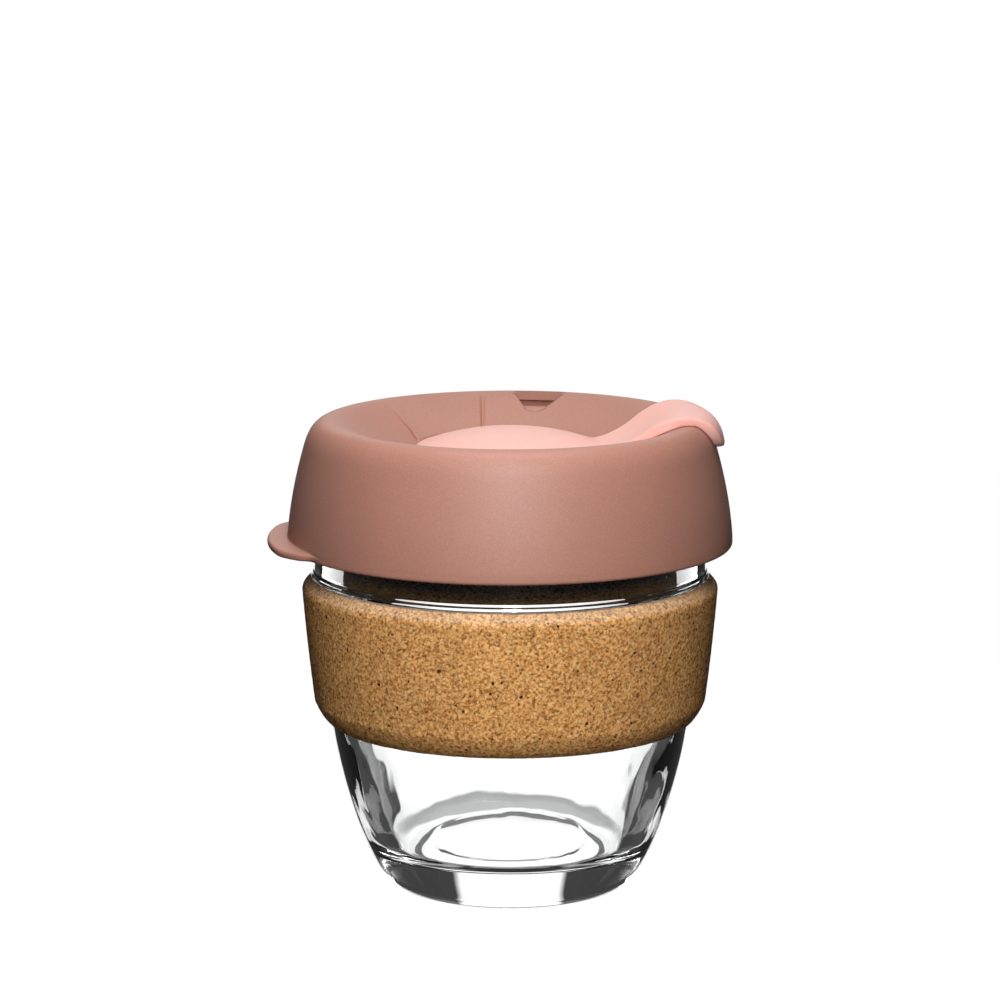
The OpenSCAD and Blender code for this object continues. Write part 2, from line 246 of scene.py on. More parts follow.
def cork_material():
    """Pressed cork: fine granules of several browns and scattered dark specks; faces that point upwards get a painted
    highlight, so the top edge shows paler.
    """
    material, tree, out = new_material("cork")
    links = tree.links
    place = tree.nodes.new("ShaderNodeTexCoord")
    shader = node(tree, "ShaderNodeBsdfPrincipled", Specular_IOR_Level=0.12, Roughness=0.8)

    def textured(kind, vector=None, **inputs):
        made = node(tree, kind, **inputs)
        links.new(vector or place.outputs["Object"], made.inputs["Vector"])
        return made

    # uneven stretching of the space, so that granules and specks are never round
    warp = textured("ShaderNodeTexNoise", Scale=900.0, Detail=2.0)
    shifted = tree.nodes.new("ShaderNodeVectorMath")
    shifted.operation = "MULTIPLY_ADD"
    links.new(warp.outputs["Color"], shifted.inputs[0])
    shifted.inputs[1].default_value = (0.9 * MM, 0.9 * MM, 0.5 * MM)
    links.new(place.outputs["Object"], shifted.inputs[2])
    bent = shifted.outputs["Vector"]

    granules = textured("ShaderNodeTexVoronoi", bent, Scale=1900.0)
    seams = node(tree, "ShaderNodeTexVoronoi", Scale=1900.0)
    seams.feature = "DISTANCE_TO_EDGE"
    links.new(bent, seams.inputs["Vector"])
    coarse = textured("ShaderNodeTexNoise", bent, Scale=1700.0, Detail=3.0, Roughness=0.65)
    fine = textured("ShaderNodeTexNoise", bent, Scale=3300.0, Detail=2.0, Roughness=0.6)
    cloud = textured("ShaderNodeTexNoise", Scale=130.0, Detail=3.0)

    grey = tree.nodes.new("ShaderNodeSeparateColor")
    links.new(granules.outputs["Color"], grey.inputs["Color"])
    base = ramp(tree, grey.outputs["Red"], [
        (0.0, srgb(206, 140, 76)), (0.2, srgb(240, 176, 106)),
        (0.75, srgb(252, 190, 120)), (1.0, srgb(255, 206, 142))])
    grit = ramp(tree, coarse.outputs["Fac"], [(0.34, (0.2, 0.11, 0.06)), (0.42, (0.68, 0.6, 0.53)),
                                              (0.54, (1.05, 1.05, 1.05)), (0.66, (1.4, 1.42, 1.44))])
    body = mixed(tree, "MULTIPLY", 0.9, base, grit)
    gap = ramp(tree, seams.outputs["Distance"], [(0.0, (0.5, 0.44, 0.4)), (0.08, (1.0, 1.0, 1.0))])
    patchy = ramp(tree, fine.outputs["Fac"], [(0.4, (0, 0, 0)), (0.55, (1, 1, 1))])
    body = mixed(tree, "MULTIPLY", patchy, body, gap)
    shade = ramp(tree, cloud.outputs["Fac"], [(0.35, (0.92, 0.91, 0.89)), (0.65, (1.06, 1.06, 1.06))])
    body = mixed(tree, "MULTIPLY", 1.0, body, shade)

    # dark specks: only some of the cells of a coarser grid hold one
    specks = textured("ShaderNodeTexVoronoi", bent, Scale=560.0)
    chosen = tree.nodes.new("ShaderNodeSeparateColor")
    links.new(specks.outputs["Color"], chosen.inputs["Color"])
    size = maths(tree, "MULTIPLY", chosen.outputs["Green"], 0.24)
    kept = maths(tree, "LESS_THAN", chosen.outputs["Red"], 0.6)
    reach = maths(tree, "MULTIPLY", size, kept)
    depth = maths(tree, "SUBTRACT", reach, specks.outputs["Distance"])
    speck = maths(tree, "MULTIPLY", maths(tree, "MAXIMUM", depth, 0.0), 26.0)
    limited = maths(tree, "MINIMUM", speck, 0.94)
    body = mixed(tree, "MIX", limited, body, srgb(52, 30, 16))

    # painted highlight: faces whose normal points upwards, such as the band's bevelled top, get a pale tint added to
    # their colour
    geometry = tree.nodes.new("ShaderNodeNewGeometry")
    facing = tree.nodes.new("ShaderNodeSeparateXYZ")
    links.new(geometry.outputs["Normal"], facing.inputs["Vector"])
    top = maths(tree, "MULTIPLY", maths(tree, "MAXIMUM", maths(tree, "SUBTRACT", facing.outputs["Z"], 0.3), 0.0), 2.0)
    body = mixed(tree, "ADD", top, body, (0.15, 0.18, 0.18))
    links.new(body, shader.inputs["Base Color"])

    relief = maths(tree, "SUBTRACT", fine.outputs["Fac"], limited)
    bump = node(tree, "ShaderNodeBump", Strength=0.7, Distance=0.12 * MM)
    links.new(relief, bump.inputs["Height"])
    links.new(bump.outputs["Normal"], shader.inputs["Normal"])
    links.new(shader.outputs["BSDF"], out.inputs["Surface"])
    return material


# ---------------------------------------------------------------- driving sizes, from the CAD frame
glass_high = box_mm("glass_cup")[1]
band_low, band_high = box_mm("cork_band")
lid_high = box_mm("lid")[1]
plug_low = box_mm("plug")[0]

RIM_Z = glass_high[2]
RIM_ROUND = 1.15
NECK_RADIUS = glass_high[0]
MOUTH_RADIUS = NECK_RADIUS - 3.2
NECK_BEAD = 0.6
FOOT_RADIUS = 21.3
FOOT_RING_WIDTH = 2.6
FOOT_HOLLOW = 0.3
# Fine pressed lines where the neck flares out to the shoulder: inset from its edge and height above it
SHOULDER_STEPS = ((0.02, 0.4), (0.28, 0.84), (0.3, 1.2), (0.56, 1.64), (0.57, 2.05))
FLOOR_Z = 8.5
FLOOR_RADIUS = 20.6
FLOOR_DISC_RISE = 0.15
BAND_TOP = band_high[2]
BAND_BOTTOM = band_low[2]
BAND_RADIUS = band_high[0]
SHOULDER_Z = BAND_TOP + 0.08
LID_RADIUS = lid_high[1]
SKIRT_Z = RIM_Z - 17.15
CROWN_Z = RIM_Z + 7.55
LID_WALL = 1.9
CROWN_RADIUS = LID_RADIUS - 8
WALL_BEND = (LID_RADIUS - 0.6, RIM_Z - 7)
WALL_TOP = (LID_RADIUS - 3.4, RIM_Z + 2.7)
CROWN_BEND = (CROWN_RADIUS - 1.8, CROWN_Z)
BROW = (CROWN_RADIUS - 5, CROWN_Z - 1.6)
SLOPE_FOOT = (21.5, RIM_Z + 1.5)
BOWL_FLOOR_Z = RIM_Z + 0.9
BOSS_Z = RIM_Z - 3.4
DISC_RADIUS = -plug_low[0]
ARM_CREST_Z = CROWN_Z + 1.8

RECESS_START = np.array([35.15, 31.0])
RECESS_BEND = np.array([36.9, 41.0])
SEAT = np.array([NECK_RADIUS - 1.5, SHOULDER_Z])


def recess_wall(steps=CURVE_STEPS):
    return bow(RECESS_START, RECESS_BEND, SEAT, steps)


RECESS_LINE = np.array([RECESS_START] + recess_wall(64))


def recess_radius(z):
    """Radius of the glass under the band at height z, or at an array of heights."""
    return np.interp(z, RECESS_LINE[:, 1], RECESS_LINE[:, 0])


# ---------------------------------------------------------------- glass
def on_line(a, b, z):
    """Point at height z on the line through a and b, so two curves that bend at a and b join smoothly."""
    share = (z - a[1]) / (b[1] - a[1])
    return (a[0] + (b[0] - a[0]) * share, z)


def uneven_glass(point):
    """Pressed glass is never quite even: shifts the wall sideways by a few hundredths of a millimetre.
    The waves fade out towards the table and towards the flat floor."""
    x, y, z = point
    r = math.hypot(x, y)
    if r < FLOOR_RADIUS or z > RIM_Z - 18:
        return point
    wave = noise.noise(Vector((x, y, z * 0.6)) * 0.16) * 0.05
    wave += noise.noise(Vector((x, y, z * 0.5)) * 0.45) * 0.022
    share = wave * min(1.0, max(0.0, z - 0.5)) * min(1.0, (r - FLOOR_RADIUS) / 2)
    return (x * (1 + share / r), y * (1 + share / r), z)


def build_glass():
    """Closed section from the foot up the outside, over the rim and down the inside, turned round +Z."""
    heel_bend, waist_bend = (FOOT_RADIUS + 3.2, 0), (32.45, 15.5)
    heel = on_line(heel_bend, waist_bend, 5)
    floor_bend, inner_bend, neck_bend = (23.2, FLOOR_Z), (27.2, FLOOR_Z + 8.7), (34.7, 41)
    inner_heel = on_line(floor_bend, inner_bend, FLOOR_Z + 3)
    inner_waist = on_line(inner_bend, neck_bend, FLOOR_Z + 20.5)
    neck = NECK_RADIUS - NECK_BEAD
    ring_in = FOOT_RADIUS - FOOT_RING_WIDTH
    loop = [(0, FOOT_HOLLOW)]
    loop += straight(loop[0], (ring_in - 0.5, FOOT_HOLLOW), 8)
    loop += bow(loop[-1], (ring_in - 0.1, FOOT_HOLLOW), (ring_in, 0), 8)
    loop += straight(loop[-1], (FOOT_RADIUS, 0), 2)
    loop += bow(loop[-1], heel_bend, heel)
    loop += bow(heel, waist_bend, RECESS_START, 24)
    loop += recess_wall()
    loop += straight(SEAT, (NECK_RADIUS - 0.6, SHOULDER_Z), 2)
    loop += bow(loop[-1], (NECK_RADIUS, SHOULDER_Z), (NECK_RADIUS, SHOULDER_Z + 0.3), 8)
    for inset, rise in SHOULDER_STEPS:
        loop += straight(loop[-1], (NECK_RADIUS - inset, SHOULDER_Z + rise), 3)
    loop += straight(loop[-1], (neck, SHOULDER_Z + 2.3), 2)
    loop += straight(loop[-1], (neck, RIM_Z - RIM_ROUND), 6)
    loop += bow(loop[-1], (neck, RIM_Z), (neck - RIM_ROUND, RIM_Z), 8)
    loop += bow(loop[-1], (MOUTH_RADIUS, RIM_Z), (MOUTH_RADIUS, RIM_Z - RIM_ROUND), 8)
    loop += straight(loop[-1], (MOUTH_RADIUS, 68), 4)
    loop += bow((MOUTH_RADIUS, 68), neck_bend, inner_waist, 24)
    loop += bow(inner_waist, inner_bend, inner_heel, 20)
    loop += bow(inner_heel, floor_bend, (FLOOR_RADIUS, FLOOR_Z), 14)
    loop += straight(loop[-1], (16.1, FLOOR_Z), 3)
    loop += bow(loop[-1], (15.7, FLOOR_Z), (15.4, FLOOR_Z + 0.09), 4)
    loop += bow(loop[-1], (15.1, FLOOR_Z + FLOOR_DISC_RISE), (14.6, FLOOR_Z + FLOOR_DISC_RISE), 4)
    loop += straight(loop[-1], (0, FLOOR_Z + FLOOR_DISC_RISE), 10)
    verts, faces = revolved(loop, 288, closed=False)
    verts = [uneven_glass(v) for v in verts]
    return add_mesh("glass_tumbler", verts, faces, glass_material(), "cup", ["glass_cup"])


# ---------------------------------------------------------------- cork band
def build_band():
    """Sleeve with a bevelled top and a rounded foot. Its outside carries real granules and pits."""
    side_top = (BAND_RADIUS, BAND_TOP - 2.6)
    bevel_foot = (BAND_RADIUS - 0.45, BAND_TOP - 1.4)
    side_bottom = (BAND_RADIUS - 2.3, BAND_BOTTOM + 4.2)
    edge_bottom = recess_radius(BAND_BOTTOM) + 0.4
    outer = [np.array((edge_bottom, BAND_BOTTOM))]
    outer += bow(outer[0], (side_bottom[0] - 1.2, BAND_BOTTOM + 1.2), side_bottom, 22)
    outer += bow(side_bottom, (BAND_RADIUS - 0.9, BAND_BOTTOM + 15), side_top, 76)
    outer += bow(side_top, (BAND_RADIUS - 0.02, BAND_TOP - 1.9), bevel_foot, 14)
    outer += straight(bevel_foot, (SEAT[0] + 1.4, BAND_TOP), 10)
    outer += straight(outer[-1], (SEAT[0] + 0.35, BAND_TOP), 5)
    inner = [np.array((recess_radius(z) + 0.1, z))
             for z in np.linspace(BAND_TOP - 0.3, BAND_BOTTOM, 24)]
    loop = outer + inner
    verts, faces = revolved(loop, 560)
    roughen_cork(add_mesh("cork_sleeve", verts, faces, cork_material(), "band", ["cork_band"]))


def roughen_cork(obj):
    """Sinks pits and raises granules by up to a tenth of a millimetre, on the outside only."""
    mesh = obj.data
    count = len(mesh.vertices)
    places = np.empty(count * 3, np.float32)
    normals = np.empty(count * 3, np.float32)
    mesh.vertices.foreach_get("co", places)
    mesh.vertex_normals.foreach_get("vector", normals)
    places, normals = places.reshape(-1, 3), normals.reshape(-1, 3)
    radius = np.hypot(places[:, 0], places[:, 1]) / MM
    outside = radius > recess_radius(places[:, 2] / MM) + 0.3
    lift = np.zeros(count)
    for i in np.nonzero(outside)[0]:
        p = Vector(places[i] / MM)
        grain = noise.noise(p * 1.1) * 0.05 + noise.noise(p * 2.3) * 0.035
        cell = noise.voronoi(p * 0.75)[0][0]
        pit = -0.12 * max(0.0, 1 - cell / 0.28)
        lift[i] = min(grain, 0.05) - 0.05 + pit
    places += normals * (lift * MM)[:, None].astype(np.float32)
    mesh.vertices.foreach_set("co", places.ravel())
    mesh.update()


# ---------------------------------------------------------------- lid
TAB_ANGLE = math.radians(183)
TAB_HALF = math.radians(23)
TAB_BLEND = math.radians(8)
TAB_REACH = 4.0
TAB_TOP = SKIRT_Z + 1.6
SIP_ANGLE = math.radians(80)
SIP_INNER, SIP_OUTER = 30.2, 36.3
SIP_HALF_IN, SIP_HALF_OUT = 2.8, 5.65
GROOVE_TIP = 28.0
GROOVE_DEPTH = 0.35
PAD_SIDE_X = -5.6
PAD_OUT = 33.0
PAD_MIDDLE = 27
PAD_HEIGHT = 0.9
# Curved edge of the pad: radii and the directions in degrees there
PAD_CURVE = ((21.1, 24.6, 30.2, 36.0), (151.7, 144.8, 139.7, 136.5))
# Seal ring, rest rib, bore and boss under the lid
SEAL_RADIUS = MOUTH_RADIUS - 0.08
SEAL_INSIDE = SEAL_RADIUS - 1.8
SEAL_FOOT_Z = RIM_Z - 9.1
REST_Z = RIM_Z + 0.06
BORE_RADIUS = 3.1
BOSS_RADIUS = 5.4


def tab_share(angle):
    """How much of the thumb tab there is in one direction, from 0 to 1."""
    off = abs((angle - TAB_ANGLE + math.pi) % (2 * math.pi) - math.pi)
    return float(smoothstep((TAB_HALF + TAB_BLEND - off) / (2 * TAB_BLEND)))


def pad_start(r):
    """Direction of the straight step edge of the pad at radius r."""
    return math.acos(PAD_SIDE_X / min(max(r, 20.5), 34.0))


def pad_stop(r):
    """Direction of the curved step edge of the pad at radius r."""
    return math.radians(float(np.interp(r, *PAD_CURVE)))


def skirt_line(share):
    """The foot of the skirt, from its underside to the height where a tab has ended; share is the tab's."""
    edge = 0.7
    foot = (LID_RADIUS - edge, SKIRT_Z)
    end = np.array((LID_RADIUS - 0.02, TAB_TOP + 0.3))
    plain = bow(foot, (LID_RADIUS, SKIRT_Z), (LID_RADIUS, SKIRT_Z + edge), 8)
    plain += straight(plain[-1], end, 16)
    tip = LID_RADIUS + TAB_REACH * share
    tab_z = SKIRT_Z + 0.1
    tab = straight(foot, (tip - edge, tab_z), 8)
    tab += bow(tab[-1], (tip, tab_z), (tip, (TAB_TOP + tab_z) / 2), 5)
    tab += bow(tab[-1], (tip, TAB_TOP), (tip - edge, TAB_TOP), 5)
    tab += bow(tab[-1], (LID_RADIUS - 0.1, TAB_TOP), end, 6)
    blend = min(1.0, share * 2.5)
    return [p * (1 - blend) + t * blend for p, t in zip(plain, tab)]


def bowl_line(rise, notch):
    """The top from the crown down to the bowl's floor, with the pad's share of height and a notch's depth."""
    line = bow((CROWN_RADIUS, CROWN_Z), CROWN_BEND, BROW, 10)
    line += straight(BROW, SLOPE_FOOT, 18)
    line += bow(SLOPE_FOOT, (20.3, BOWL_FLOOR_Z), (19, BOWL_FLOOR_Z), 8)
    for point in line:
        if point[0] > 20.3:
            ease = min(1, max(0, (PAD_OUT - point[0]) / 12))
            notch_ease = (0.25 + 0.75 * ease) * min(1, max(0, PAD_OUT + 1 - point[0]))
            point[1] += PAD_HEIGHT * rise * ease - notch * notch_ease
    return line


def underside_line(start):
    """The inside of the lid, from the bore in the bowl's floor out to the skirt."""
    bowl_under = BOWL_FLOOR_Z - LID_WALL
    drop = np.array((0, -1.12 * LID_WALL))
    ceiling = CROWN_Z - LID_WALL
    line = [start]

    def to(r, z, steps):
        line.extend(straight(line[-1], (r, z), steps))

    def curve(bend, end, steps):
        line.extend(bow(line[-1], bend, end, steps))

    to(BORE_RADIUS, BOWL_FLOOR_Z, 6)
    to(BORE_RADIUS, BOSS_Z, 3)
    to(BOSS_RADIUS, BOSS_Z, 1)
    to(BOSS_RADIUS, bowl_under, 2)
    to(19.8, bowl_under, 4)
    curve((21.0, bowl_under), SLOPE_FOOT + drop, 4)
    to(*(BROW + drop), 5)
    to(SEAL_INSIDE, ceiling, 2)
    to(SEAL_INSIDE, SEAL_FOOT_Z + 0.5, 4)
    curve((SEAL_INSIDE, SEAL_FOOT_Z), (SEAL_INSIDE + 0.5, SEAL_FOOT_Z), 3)
    to(SEAL_RADIUS - 0.7, SEAL_FOOT_Z, 1)
    curve((SEAL_RADIUS, SEAL_FOOT_Z + 0.3), (SEAL_RADIUS, SEAL_FOOT_Z + 2), 4)
    curve((SEAL_RADIUS, SEAL_FOOT_Z + 2.9), (SEAL_RADIUS - 0.25, SEAL_FOOT_Z + 3.4), 3)
    to(SEAL_RADIUS - 0.25, ceiling, 4)
    to(SEAL_RADIUS + 1.1, ceiling, 1)
    to(SEAL_RADIUS + 1.1, REST_Z, 3)
    to(SEAL_RADIUS + 2.2, REST_Z, 1)
    to(SEAL_RADIUS + 2.4, ceiling - 0.6, 3)
    under = (WALL_TOP[0] - LID_WALL, WALL_TOP[1] - 0.4)
    curve((under[0] - 0.2, ceiling - 1.2), under, 4)
    curve((WALL_BEND[0] - LID_WALL, WALL_BEND[1]), (LID_RADIUS - LID_WALL, SKIRT_Z + 1.0), 12)
    return line[1:]


def lid_loop(angle, rise, notch):
    """Closed section of the lid in one direction."""
    points = [np.array((LID_RADIUS - LID_WALL + 0.3, SKIRT_Z))]
    points += straight(points[-1], (LID_RADIUS - 0.7, SKIRT_Z), 2)
    points += skirt_line(tab_share(angle))
    points += bow((LID_RADIUS - 0.02, TAB_TOP + 0.3), WALL_BEND, WALL_TOP, 34)
    points += bow(WALL_TOP, (LID_RADIUS - 4.8, CROWN_Z), (CROWN_RADIUS, CROWN_Z), 18)
    points += bowl_line(rise, notch)
    return points + underside_line(points[-1])


def build_lid():
    """Sections all round, packed closer at the two step edges of the pad, where narrow notches run."""
    material = plastic_material("lid_plastic", srgb(197, 138, 119), 0.56, 3600.0, 0.06 * MM,
                                specular=0.75, speckle=0.22)
    start, stop = pad_start(PAD_MIDDLE), pad_stop(PAD_MIDDLE)
    angles = list(np.linspace(0, 2 * math.pi, 432, endpoint=False))
    notches = []
    for edge, degrees, depth in ((start, 0.62, 0.9), (stop, 0.32, 0.3)):
        step = math.radians(degrees)
        angles = [a for a in angles if abs(a - edge) > step * 2.0]
        angles += [edge - step, edge - step * 0.4, edge + step * 0.4, edge + step]
        notches.append((edge, step / 2, depth))
    angles.sort()
    loops = []
    for a in angles:
        rise = 1.0 if start < a < stop else 0.0
        notch = max(depth if abs(a - edge) < reach else 0.0 for edge, reach, depth in notches)
        loops.append(lid_loop(a, rise, notch))
    verts = []
    for a, loop in zip(angles, loops):
        for r, z in loop:
            on_top = z > BOWL_FLOOR_Z - 0.01 and 15 < r < 39
            turned = bend_angle(a, r, start, stop) if on_top else a
            verts.append((r * math.cos(turned), r * math.sin(turned), z))
    faces = ring_faces(len(angles), len(loops[0]), len(loops[0]))
    lid = add_mesh("lid_cap", verts, faces, material, "lid_body", ["lid"])
    cut_sip_hole(lid)


def bend_angle(a, r, start, stop):
    """Moves the lid's mesh columns so that two of them follow the pad's step edges."""
    shift_start = pad_start(r) - start
    shift_stop = pad_stop(r) - stop
    fade = math.radians(14)
    middle = (start + stop) / 2
    if a <= start:
        return a + shift_start * float(smoothstep(1 - (start - a) / fade))
    if a >= stop:
        return a + shift_stop * float(smoothstep(1 - (a - stop) / fade))
    if a < middle:
        return a + shift_start * float(smoothstep(1 - (a - start) / (middle - start)))
    return a + shift_stop * float(smoothstep(1 - (stop - a) / (stop - middle)))


def sip_prism(outline, low, high):
    """Upright prism with an anticlockwise outline, turned to the sip hole's direction."""
    c, s = math.cos(SIP_ANGLE), math.sin(SIP_ANGLE)
    count = len(outline)
    verts = [((x * c - y * s) * MM, (x * s + y * c) * MM, z * MM)
             for z in (low, high) for x, y in outline]
    faces = [tuple(range(count - 1, -1, -1)), tuple(range(count, 2 * count))]
    faces += [(i, (i + 1) % count, (i + 1) % count + count, i + count) for i in range(count)]
    mesh = bpy.data.meshes.new("cutter")
    mesh.from_pydata(verts, [], faces)
    obj = bpy.data.objects.new("cutter", mesh)
    bpy.context.scene.collection.objects.link(obj)
    return obj


def slope_z(r):
    """Height of the bowl's slope at radius r."""
    return float(np.interp(r, (SLOPE_FOOT[0], BROW[0]), (SLOPE_FOOT[1], BROW[1])))


def groove_prism():
    """Cutter for the shallow groove that runs on from the sip hole to a rounded point."""
    corner = (SIP_INNER + 1, SIP_HALF_IN)
    upper = [np.array(corner)] + bow(corner, (GROOVE_TIP + 0.5, SIP_HALF_IN * 0.9), (GROOVE_TIP, 0), 8)
    outline = [tuple(p) for p in upper] + [(p[0], -p[1]) for p in reversed(upper[:-1])]
    cutter = sip_prism(outline, 0, 2)
    count = len(outline)
    for vertex in cutter.data.vertices:
        x, y = outline[vertex.index % count]
        lift = -GROOVE_DEPTH if vertex.index < count else 2.0
        vertex.co.z = (slope_z(math.hypot(x, y)) + lift) * MM
    return cutter


def cut_sip_hole(lid):
    """Cuts the tapered hole and its groove. Below the crown the hole stops short of the seal ring."""
    corner = 0.7
    near, far = np.array((SIP_INNER, SIP_HALF_IN)), np.array((SIP_OUTER, SIP_HALF_OUT))
    along = np.array((0.9, 0.4)) * corner
    upper = [near - (0, corner)] + bow(near - (0, corner), near, near + along, 5)
    upper += [far - along] + bow(far - along, far, far - (0, corner), 5)
    outline = [(p[0], -p[1]) for p in upper] + [tuple(p) for p in reversed(upper)]
    outer_cut = sip_prism(outline, CROWN_Z - LID_WALL - 1.2, CROWN_Z + 2)
    ring_edge = SEAL_RADIUS - LID_WALL
    inner_outline = [(min(x, ring_edge), y) for x, y in outline]
    inner_cut = sip_prism(inner_outline, BOWL_FLOOR_Z - 1, CROWN_Z + 1)
    cutters = (outer_cut, inner_cut, groove_prism())
    for cutter in cutters:
        cut = lid.modifiers.new("cut", "BOOLEAN")
        cut.operation = "DIFFERENCE"
        cut.solver = "MANIFOLD"
        cut.object = cutter
    apply_modifiers(lid)
    for cutter in cutters:
        bpy.data.objects.remove(cutter)


# ---------------------------------------------------------------- plug
ARM_ANGLE = math.radians(4)
ARM_HALF = 11.62
ARM_ROOT_HALF = 7.7
ARM_ROOT_AT = 19.0
ARM_TIP_ROUND = 5.5
ARM_GAP = 0.04
DISC_DOME = 3.5
# The stem keeps well clear of its bore and its head of the boss, because the remesh rounds the corners
STEM_RADIUS = 2.9
HEAD_DROP = 0.42


def arm_line(offset):
    """Outer (offset 1) or inner (offset 0) face of the arm as radius and height points."""
    brow = np.array(BROW)
    if offset:
        disc_edge = BOWL_FLOOR_Z + 1.3
        root = (DISC_RADIUS - 0.5, disc_edge + 0.3)
        ramp_end = brow + (-4.5, -0.3)
        crest = (CROWN_RADIUS - 0.9, ARM_CREST_Z)
        hook = (LID_RADIUS - 1.9, RIM_Z + 4.3)
        line = [np.array((DISC_RADIUS - 5, disc_edge + 1.2))]
        line += straight(line[0], root, 6)
        line += bow(root, (DISC_RADIUS + 3.3, root[1] + 0.2), ramp_end, 14)
        line += bow(ramp_end, (brow[0], ARM_CREST_Z - 0.2), crest, 14)
        line += bow(crest, (LID_RADIUS - 3, ARM_CREST_Z + 0.1), hook, 16)
        line += straight(hook, (LID_RADIUS - 1.5, RIM_Z + 2.7), 8)
        return np.array(line)
    gap = np.array((0, ARM_GAP))
    wall_top = np.array(WALL_TOP) + (ARM_GAP, 0)
    line = [np.array((DISC_RADIUS - 5, BOWL_FLOOR_Z + 0.3))]
    line += straight(line[0], (20.3, BOWL_FLOOR_Z + 0.4), 6)
    line += bow(line[-1], (21.0, BOWL_FLOOR_Z + 0.5), SLOPE_FOOT + gap, 4)
    line += straight(line[-1], brow + gap, 14)
    line += bow(line[-1], CROWN_BEND + gap, (CROWN_RADIUS, CROWN_Z) + gap, 10)
    line += bow(line[-1], (LID_RADIUS - 4.55, CROWN_Z + ARM_GAP), wall_top, 16)
    line += straight(line[-1], wall_top + (0.25, 0), 6)
    return np.array(line)


def resample(line, count):
    """The same line with evenly spaced points."""
    steps = np.linalg.norm(np.diff(line, axis=0), axis=1)
    travel = np.concatenate([[0], np.cumsum(steps)])
    at = np.linspace(0, travel[-1], count)
    return np.stack([np.interp(at, travel, line[:, k]) for k in (0, 1)], 1)


def arm_section(half, depth, soft):
    """Cross-section of the arm: flat underneath, straight sides and rounded upper edges."""
    corner = [(half - soft * (1 - math.cos(t)), depth - soft * (1 - math.sin(t)))
              for t in np.linspace(0, math.pi / 2, 6)]
    right = [(half * x / 6, 0.0) for x in range(7)]
    right += [(half, depth * 0.3), (half, depth * 0.5)] + corner
    right += [((half - soft) * x, depth) for x in (0.75, 0.5, 0.25, 0.0)]
    left = [(-y, h) for y, h in reversed(right[1:-1])]
    return right + left


def arm_mesh():
    """Rounded tongue that follows the lid: sections across, from the disc to the hanging tip."""
    rows = 90
    outer, inner = resample(arm_line(1), rows), resample(arm_line(0), rows)
    around = len(arm_section(1, 1, 0.1))
    verts, faces = [], []
    edge = 0.75
    length = np.concatenate([[0], np.cumsum(np.linalg.norm(np.diff(outer, axis=0), axis=1))])
    for k in range(rows):
        mid = (outer[k] + inner[k]) / 2
        half = float(np.interp(mid[0], (ARM_ROOT_AT, CROWN_RADIUS - 3), (ARM_ROOT_HALF, ARM_HALF)))
        left = length[-1] - length[k]
        if left < ARM_TIP_ROUND:
            half -= ARM_TIP_ROUND - math.sqrt(max(0, ARM_TIP_ROUND**2 - (ARM_TIP_ROUND - left) ** 2))
        thick = 1.0
        if left < edge:
            thick = max(math.sqrt(max(0.0, 1 - ((edge - left) / edge) ** 2)), 0.12)
        depth = float(np.linalg.norm(outer[k] - inner[k]))
        soft = min(0.5, depth / 3)
        for y, height in arm_section(half, depth, soft):
            point = mid + (outer[k] - inner[k]) * (height / depth - 0.5) * thick
            x = math.sqrt(max(1.0, point[0] ** 2 - y * y))
            verts.append((x, y, point[1]))
    for k in range(rows - 1):
        for j in range(around):
            n = (j + 1) % around
            faces.append((k * around + j, k * around + n, (k + 1) * around + n, (k + 1) * around + j))
    faces.append(tuple(range(around)))
    faces.append(tuple(reversed(range((rows - 1) * around, rows * around))))
    return verts, faces


def disc_mesh():
    """Domed disc with its stem and the head that holds it under the lid's boss."""
    edge_z = BOWL_FLOOR_Z + 1.3
    under = BOWL_FLOOR_Z + 0.2
    ball = (DISC_RADIUS**2 + DISC_DOME**2) / (2 * DISC_DOME)
    top = [np.array((r, edge_z + DISC_DOME - ball + math.sqrt(ball * ball - r * r)))
           for r in np.linspace(0, DISC_RADIUS - 0.35, 30)]
    loop = top + bow(top[-1], (DISC_RADIUS, edge_z), (DISC_RADIUS, edge_z - 0.45), 5)
    loop += bow(loop[-1], (DISC_RADIUS, under), (DISC_RADIUS - 0.4, under), 4)
    loop += straight(loop[-1], (STEM_RADIUS, under), 6)
    loop += straight(loop[-1], (STEM_RADIUS, BOSS_Z - HEAD_DROP), 4)
    loop += straight(loop[-1], (4.0, BOSS_Z - HEAD_DROP), 1)
    loop += straight(loop[-1], (2.4, BOSS_Z - 1.95), 2)
    loop += straight(loop[-1], (0, BOSS_Z - 1.95), 2)
    return revolved(loop, 128, closed=False)


def build_plug():
    """Disc and arm melted into one moulding by a fine remesh."""
    material = plastic_material("plug_rubber", srgb(255, 192, 180), 0.55, 3000.0, 0.02 * MM,
                                specular=0.3, soft=0.3)
    verts, faces = disc_mesh()
    arm_verts, arm_faces = arm_mesh()
    shift = len(verts)
    c, s = math.cos(ARM_ANGLE), math.sin(ARM_ANGLE)
    verts = verts + [(x * c - y * s, x * s + y * c, z) for x, y, z in arm_verts]
    faces = faces + [tuple(i + shift for i in f) for f in arm_faces]
    plug = add_mesh("swivel_plug", verts, faces, material, "plug_body", ["plug"])
    melt = plug.modifiers.new("melt", "REMESH")
    melt.mode = "VOXEL"
    melt.voxel_size = 0.24 * MM
    ease = plug.modifiers.new("ease", "SMOOTH")
    ease.iterations = 8
    ease.factor = 0.6
    apply_modifiers(plug)
    for polygon in plug.data.polygons:
        polygon.use_smooth = True


# ---------------------------------------------------------------- studio
# Camera, in metres and degrees
LENS = 158.4
PITCH = math.radians(10.317)
DISTANCE = 0.8696
AIM_X, AIM_Z = -0.00198, 0.07733

